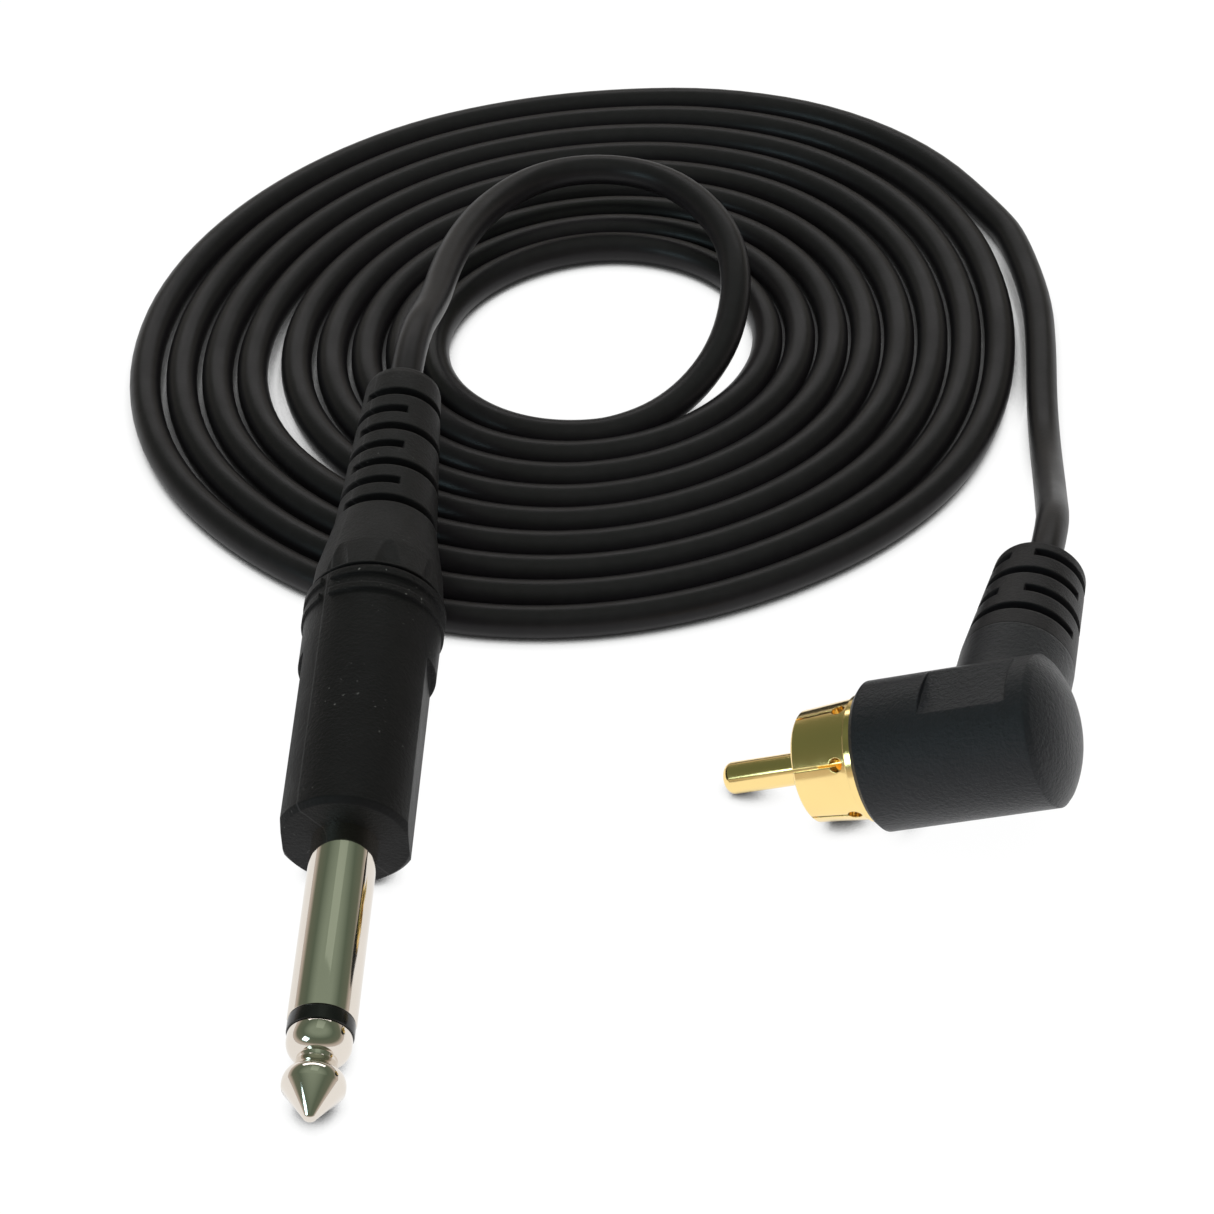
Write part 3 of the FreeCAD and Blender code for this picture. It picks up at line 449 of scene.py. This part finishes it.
def turned(name, outline, plug, material, node):
    """A smooth body of revolution about a plug's axis from (radius, z) points."""
    mesh = bpy.data.meshes.new(name)
    bm = bmesh.new()
    rings = []
    for radius, z in outline:
        if radius < ON_AXIS:
            rings.append([bm.verts.new(plug @ Vector((0, 0, z)) * MM)])
            continue
        angles = [2 * math.pi * k / ROUND_STEPS for k in range(ROUND_STEPS)]
        around = [Vector((radius * math.cos(t), radius * math.sin(t), z)) for t in angles]
        rings.append([bm.verts.new(plug @ point * MM) for point in around])
    for low, high in zip(rings, rings[1:]):
        for k in range(ROUND_STEPS):
            corners = (low[k % len(low)], low[(k + 1) % len(low)],
                       high[(k + 1) % len(high)], high[k % len(high)])
            distinct = list(dict.fromkeys(corners))
            if len(distinct) > 2:
                bm.faces.new(distinct).smooth = True
    bmesh.ops.recalc_face_normals(bm, faces=bm.faces)
    for edge in bm.edges:
        if len(edge.link_faces) == 2 and edge.calc_face_angle() > CREASE:
            edge.smooth = False
    bm.to_mesh(mesh)
    bm.free()
    obj = add_object(name, mesh)
    mesh.materials.append(MATS[material])
    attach(obj, "root")
    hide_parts(node)
    return obj


def tip_outline():
    """Cone with a small round nose, ball, neck and bead."""
    nose = arc((0.02, 0), (0.42, 0.09), (0.66, 0.34))
    ball = arc((2.85, 3.1), (2.92, 3.6), (2.62, 4.6))
    into_neck = arc((2.62, 4.6), (2.08, 5.3), (1.88, 5.95))[1:]
    bead = arc((1.88, 6.3), (2.58, 6.85), (3.0, 8.0))
    back = [(3.0, 8.70), (2.96, 8.81), (2.86, TIP_END), (TIP_BORE_R, TIP_END)]
    return [(0, 0)] + nose + ball + into_neck + bead + back


def ring_outline():
    return [(TIP_BORE_R, TIP_END), (3.0, TIP_END), (3.08, 8.92), (RING_R, 9.05), (RING_R, 10.12),
            (3.08, 10.25), (3.0, RING_END), (TIP_BORE_R, RING_END)]


def sleeve_outline():
    """Shank with a small lead-in, then the narrower root and the flange inside the handle."""
    return [(SHANK_BORE_R, RING_END), (3.02, RING_END), (3.13, 10.34), (SHANK_R, 10.45),
            (SHANK_R, 30.52), (SHANK_ROOT_R, 30.55), (SHANK_ROOT_R, FLANGE_START),
            (FLANGE_R, FLANGE_START), (FLANGE_R, FLANGE_END), (SHANK_BORE_R, FLANGE_END)]


def pin_outline():
    nose = arc((0.5, 0), (1.33, 0.27), (PIN_R, 0.9))
    return [(0, 0)] + nose + [(PIN_R, 14.5), (1.52, PIN_STEP), (PIN_POST_R, PIN_STEP),
                              (PIN_POST_R, PIN_END), (0, PIN_END)]


turned("tip_turned", tip_outline(), PHONE, "nickel", "phone_tip")
turned("ring_turned", ring_outline(), PHONE, "ring", "phone_insulator_ring")
turned("sleeve_turned", sleeve_outline(), PHONE, "nickel", "phone_sleeve")
pin_piece = turned("pin_turned", pin_outline(), PHONO, "gold", "rca_pin")

# ------------------------------------------------------------------ studio
FLOOR_HALF = 3.0        # metres, from the middle to each edge
SHADOW_REACH = 0.0022   # metres, how near a piece has to be for the painted shadow to darken the floor
SHADOW = [(0.34, grey(0.02)), (0.52, grey(0.85)), (0.80, grey(1))]     # (openness, brightness)
SKY = [                 # (height, colour), from the horizon up
    (0.0, (0.62, 0.58, 0.55)), (0.12, (0.60, 0.53, 0.47)), (0.30, (0.16, 0.18, 0.13)),
    (0.66, (0.12, 0.155, 0.11)), (0.92, (0.27, 0.33, 0.25)),
]


def make_floor():
    """White paper that glows, with a painted shadow close under the pieces that lie on it and in
    the narrow gaps between the cord's turns.
    """
    mesh = bpy.data.meshes.new("floor")
    bm = bmesh.new()
    bmesh.ops.create_grid(bm, x_segments=8, y_segments=8, size=FLOOR_HALF)
    bm.to_mesh(mesh)
    bm.free()
    mat, nodes, links, shader = principled("floor_paper", Roughness=0.9, Specular_IOR_Level=0.0)
    shader.inputs["Base Color"].default_value = (*grey(0.04), 1)
    paper = noise(nodes, links, scale=2.0, detail=2.0)
    links.new(ramp(nodes, links, paper, [(0.3, grey(0.97)), (0.7, grey(1))]),
              shader.inputs["Emission Color"])
    # Painted shadow: the floor's glow is dimmed by ambient occlusion where pieces are near
    near = nodes.new("ShaderNodeAmbientOcclusion")
    near.samples = 8
    near.inputs["Distance"].default_value = SHADOW_REACH
    links.new(ramp(nodes, links, near.outputs["AO"], SHADOW), shader.inputs["Emission Strength"])
    mesh.materials.append(mat)
    add_object("floor", mesh)


def area_light(name, where, target, size, power, colour=(1, 1, 1)):
    light = bpy.data.lights.new(name, "AREA")
    light.shape = "RECTANGLE"
    light.size, light.size_y = size
    light.energy = power
    light.color = colour
    obj = add_object(name, light)
    obj.location = where
    obj.rotation_euler = (Vector(target) - Vector(where)).to_track_quat("-Z", "Y").to_euler()
    return obj


def make_lights():
    """Soft boxes above, behind and at the left, and a fill that shows in no reflection."""
    area_light("top_box", (0.05, 0.35, 0.80), target=(0, 0.03, 0), size=(0.35, 0.5),
               power=0.07, colour=(0.88, 1.0, 0.84))
    area_light("back_box", (0.0, 1.0, 0.66), target=(0, 0.05, 0), size=(1.2, 0.30),
               power=2.6, colour=(1.0, 0.96, 0.98))
    area_light("left_strip", (-0.60, -0.52, 0.42), target=(0.02, 0, 0), size=(0.30, 0.25),
               power=1.3, colour=(0.62, 0.90, 1.0))
    fill = area_light("fill_box", (0.10, -0.15, 0.90), target=(0, 0.03, 0), size=(0.8, 0.8),
                      power=9.0)
    fill.visible_glossy = False


def make_world():
    """Dim greenish studio with a paler band at the horizon, for the metal to reflect."""
    world = bpy.data.worlds.new("studio")
    bpy.context.scene.world = world
    world.use_nodes = True
    nodes = world.node_tree.nodes
    links = world.node_tree.links
    coords = nodes.new("ShaderNodeTexCoord")
    split = nodes.new("ShaderNodeSeparateXYZ")
    links.new(coords.outputs["Generated"], split.inputs["Vector"])
    sky = ramp(nodes, links, split.outputs["Z"], SKY)
    links.new(sky, nodes["Background"].inputs["Color"])
    nodes["Background"].inputs["Strength"].default_value = 1.0


make_floor()
make_world()
make_lights()
bpy.context.scene.view_settings.view_transform = "Standard"
